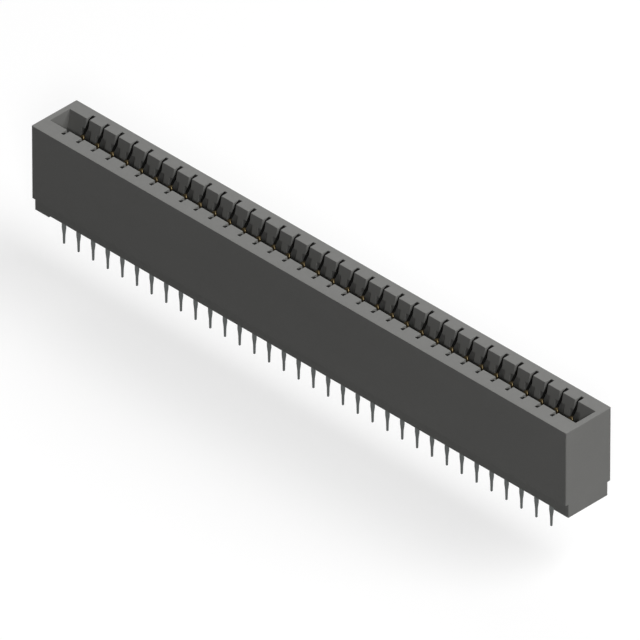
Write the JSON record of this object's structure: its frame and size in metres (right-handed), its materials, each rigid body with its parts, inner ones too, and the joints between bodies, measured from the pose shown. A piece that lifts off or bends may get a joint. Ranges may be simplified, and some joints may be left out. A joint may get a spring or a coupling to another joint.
{
  "type": "card edge connector",
  "caption": "Long slotted moulded housing with two rows of spring contacts for a card edge, and two rows of solder tails below.",
  "frame": {"origin": "on the board seating plane under the two end feet, midway between the two rows of tails, 0.27 mm behind the middle of the housing", "axes": "X along the card edge, Y across the card slot, +Z out of the card mouth, away from the board"},
  "size_m": [0.0918, 0.0077, 0.0164],
  "materials": {
    "housing_plastic": "moulded, fine matt",
    "contact_metal": "tin plated tails, gold plated pads"
  },
  "bodies": {
    "root": {"housing": "housing_plastic", "contact_pair_01": "contact_metal", "contact_pair_02": "contact_metal", "contact_pair_03": "contact_metal", "contact_pair_04": "contact_metal", "contact_pair_05": "contact_metal", "contact_pair_06": "contact_metal", "contact_pair_07": "contact_metal", "contact_pair_08": "contact_metal", "contact_pair_09": "contact_metal", "contact_pair_10": "contact_metal", "contact_pair_11": "contact_metal", "contact_pair_12": "contact_metal", "contact_pair_13": "contact_metal", "contact_pair_14": "contact_metal", "contact_pair_15": "contact_metal", "contact_pair_16": "contact_metal", "contact_pair_17": "contact_metal", "contact_pair_18": "contact_metal", "contact_pair_19": "contact_metal", "contact_pair_20": "contact_metal", "contact_pair_21": "contact_metal", "contact_pair_22": "contact_metal", "contact_pair_23": "contact_metal", "contact_pair_24": "contact_metal", "contact_pair_25": "contact_metal", "contact_pair_26": "contact_metal", "contact_pair_27": "contact_metal", "contact_pair_28": "contact_metal", "contact_pair_29": "contact_metal", "contact_pair_30": "contact_metal", "contact_pair_31": "contact_metal", "contact_pair_32": "contact_metal", "contact_pair_33": "contact_metal", "contact_pair_34": "contact_metal"}
  },
  "joints": []
}
